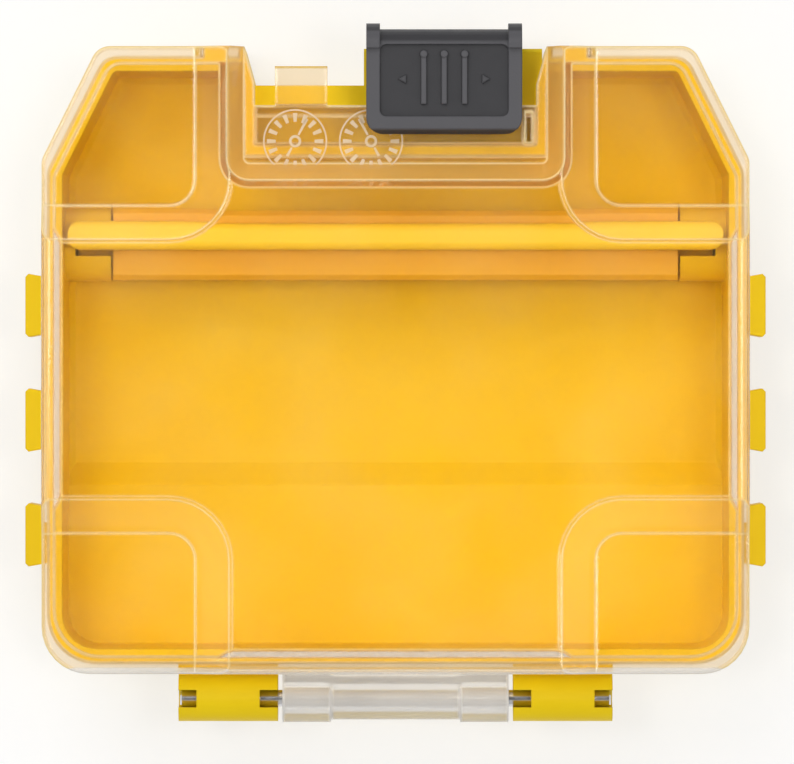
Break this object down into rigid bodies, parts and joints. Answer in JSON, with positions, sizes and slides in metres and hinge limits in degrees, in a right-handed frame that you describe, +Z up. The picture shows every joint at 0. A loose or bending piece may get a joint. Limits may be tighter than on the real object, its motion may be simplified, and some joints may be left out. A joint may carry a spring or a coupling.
{
  "type": "drill bit case",
  "caption": "Small bit case with a clear hinged lid, a sliding front latch, a bit bar that swings up and dovetail tabs at its sides.",
  "frame": {"origin": "centre of the base's bottom face", "axes": "+Z up through the closed lid, +Y towards the latch, +X towards the locked end of the latch's travel; the hinge is at -Y"},
  "size_m": [0.1148, 0.108, 0.0335],
  "materials": {
    "base": "opaque yellow, lightly textured",
    "lid": "clear, polished",
    "latch": "dark grey, satin",
    "pin": "polished wire",
    "bar": "opaque yellow",
    "grip": "soft, matt"
  },
  "bodies": {
    "base": {"base_shell": "base", "hinge_pin": "pin"},
    "lid": {"lid_shell": "lid"},
    "latch": {"latch_slider": "latch"},
    "bit_bar": {"bit_bar": "bar", "bit_grip_strip": "grip"}
  },
  "joints": [
    {"name": "lid_hinge", "type": "hinge", "parent": "base", "child": "lid", "pos_m": [0, -0.0524, 0.0195], "axis": [1, 0, 0], "range_deg": [0, 180]},
    {"name": "latch_slide", "type": "slide", "parent": "lid", "child": "latch", "axis": [1, 0, 0], "range_m": [-0.0169, 0]},
    {"name": "bar_swing", "type": "hinge", "parent": "base", "child": "bit_bar", "pos_m": [0, 0.01786, 0.0103], "axis": [1, 0, 0], "range_deg": [-90, 0]}
  ]
}
